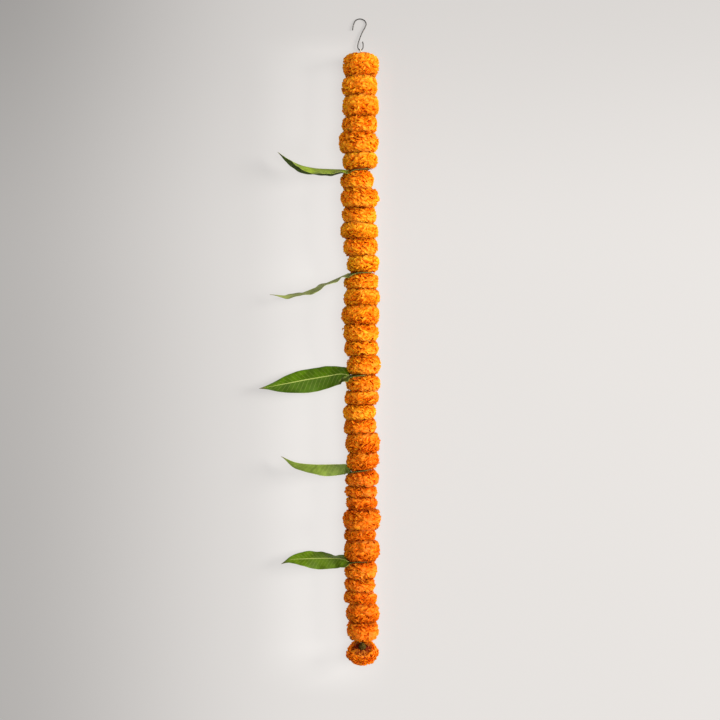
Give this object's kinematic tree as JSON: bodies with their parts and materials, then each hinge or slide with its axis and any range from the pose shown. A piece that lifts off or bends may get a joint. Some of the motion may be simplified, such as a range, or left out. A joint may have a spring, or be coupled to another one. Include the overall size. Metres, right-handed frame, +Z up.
{
  "type": "marigold garland",
  "caption": "Straight garland of fresh orange marigold blooms strung on a thread in groups, with a mango leaf between the groups and a wire S-hook, lying on a surface.",
  "frame": {"origin": "on the surface that the garland lies on, under the thread, at the pressed underside of the sixteenth bloom from the hook, near the middle of the strand", "axes": "+Y runs along the thread towards the S-hook, the leaves point towards -X, and +Z is up from the surface"},
  "size_m": [0.1827, 0.9718, 0.0544],
  "materials": {
    "petals": "soft matt petals",
    "leaf": "waxy satin leaf",
    "calyx": "matt",
    "thread": "twisted cotton",
    "wire": "drawn wire"
  },
  "bodies": {
    "root": {"bloom_01": "petals", "bloom_02": "petals", "bloom_03": "petals", "bloom_04": "petals", "bloom_05": "petals", "bloom_06": "petals", "bloom_07": "petals", "bloom_08": "petals", "bloom_09": "petals", "bloom_10": "petals", "bloom_11": "petals", "bloom_12": "petals", "bloom_13": "petals", "bloom_14": "petals", "bloom_15": "petals", "bloom_16": "petals", "bloom_17": "petals", "bloom_18": "petals", "bloom_19": "petals", "bloom_20": "petals", "bloom_21": "petals", "bloom_22": "petals", "bloom_23": "petals", "bloom_24": "petals", "bloom_25": "petals", "bloom_26": "petals", "bloom_27": "petals", "bloom_28": "petals", "bloom_29": "petals", "bloom_30": "petals", "bloom_31": "petals", "bloom_32": "petals", "bloom_33": "petals", "bloom_34": "petals", "bloom_35": "petals", "bloom_36": "petals", "leaf_1": "leaf", "leaf_2": "leaf", "leaf_3": "leaf", "leaf_4": "leaf", "leaf_5": "leaf", "end_calyx": "calyx", "thread": "thread", "s_hook": "wire"}
  },
  "joints": []
}
